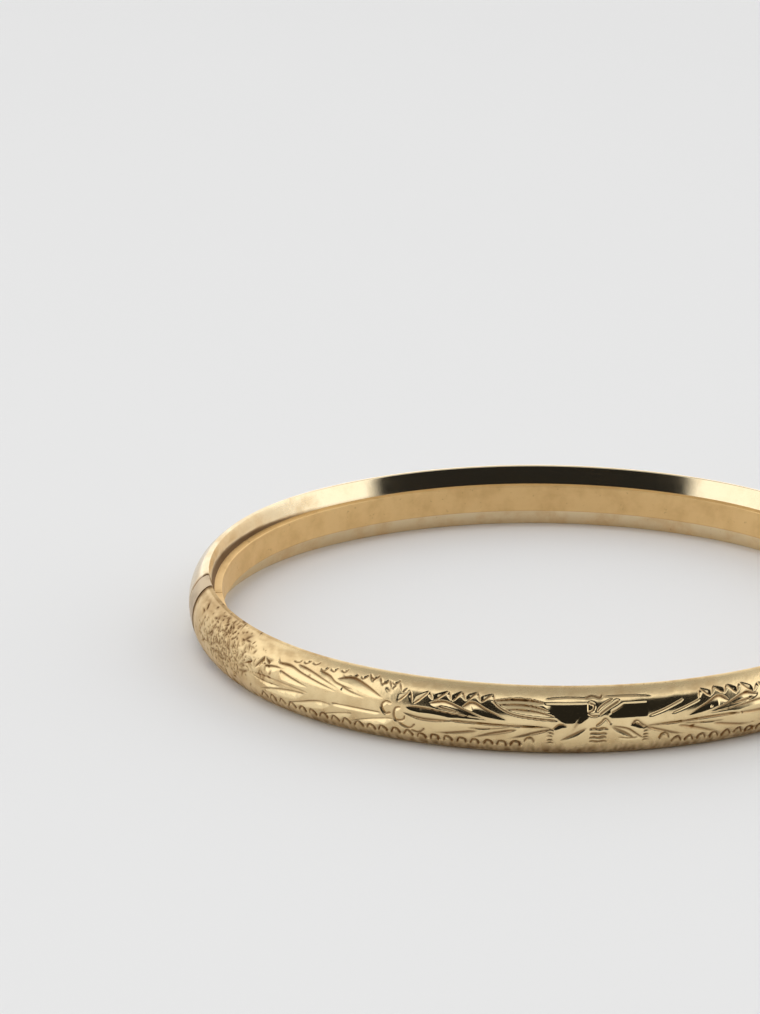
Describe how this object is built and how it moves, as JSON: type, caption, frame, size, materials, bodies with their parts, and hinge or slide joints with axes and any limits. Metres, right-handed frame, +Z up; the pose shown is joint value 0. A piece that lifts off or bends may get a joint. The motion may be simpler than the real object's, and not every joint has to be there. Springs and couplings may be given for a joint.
{
  "type": "bangle bracelet",
  "caption": "Oval hinged bangle bracelet with an engraved front half and a plain back half, opening on a concealed hinge and shut by a box clasp with a spring tongue.",
  "frame": {"origin": "centre of the oval, on the plane the bangle rests on", "axes": "+X along the long way of the oval from the hinge to the clasp, +Y towards the plain back half, +Z up through the wrist opening"},
  "size_m": [0.0654, 0.0576, 0.006],
  "materials": {
    "engraved_gold": "yellow gold-filled brass, hand engraved, tarnished in the cuts",
    "polished_gold": "yellow gold-filled brass, polished with fine wear scratches",
    "plain_gold": "yellow gold-filled brass, worn plain",
    "liner_gold": "gold-filled brass strip, dulled and stained by wear",
    "end_metal": "brass end pieces, dull and darkened",
    "pin_metal": "drawn brass wire, filed ends",
    "spring_metal": "hard-rolled brass spring strip"
  },
  "bodies": {
    "front_half": {"front_shell": "engraved_gold", "front_liner": "liner_gold", "hinge_collar": "plain_gold", "clasp_collar": "plain_gold", "front_hinge_plate": "end_metal", "middle_knuckle": "end_metal", "clasp_slot_plate": "end_metal", "clasp_box": "end_metal"},
    "back_half": {"back_shell": "polished_gold", "back_liner": "liner_gold", "back_hinge_plate": "end_metal", "lower_knuckle": "end_metal", "upper_knuckle": "end_metal", "hinge_pin": "pin_metal", "back_clasp_plate": "end_metal", "tongue_base": "spring_metal"},
    "catch_leaf": {"spring_leaf": "spring_metal", "thumb_piece": "plain_gold"}
  },
  "joints": [
    {"name": "bangle_hinge", "type": "hinge", "parent": "front_half", "child": "back_half", "pos_m": [-0.03145, 0, 0.003], "axis": [0, 0, 1], "range_deg": [0, 40], "deforming": ["spring_leaf"]},
    {"name": "thumb_press", "type": "hinge", "parent": "back_half", "child": "catch_leaf", "pos_m": [0.03063, -0.00455, 0.003], "axis": [0, 0, 1], "range_deg": [0, 7], "stiffness_Nm_per_rad": 0.03, "springref_deg": -2.86}
  ]
}
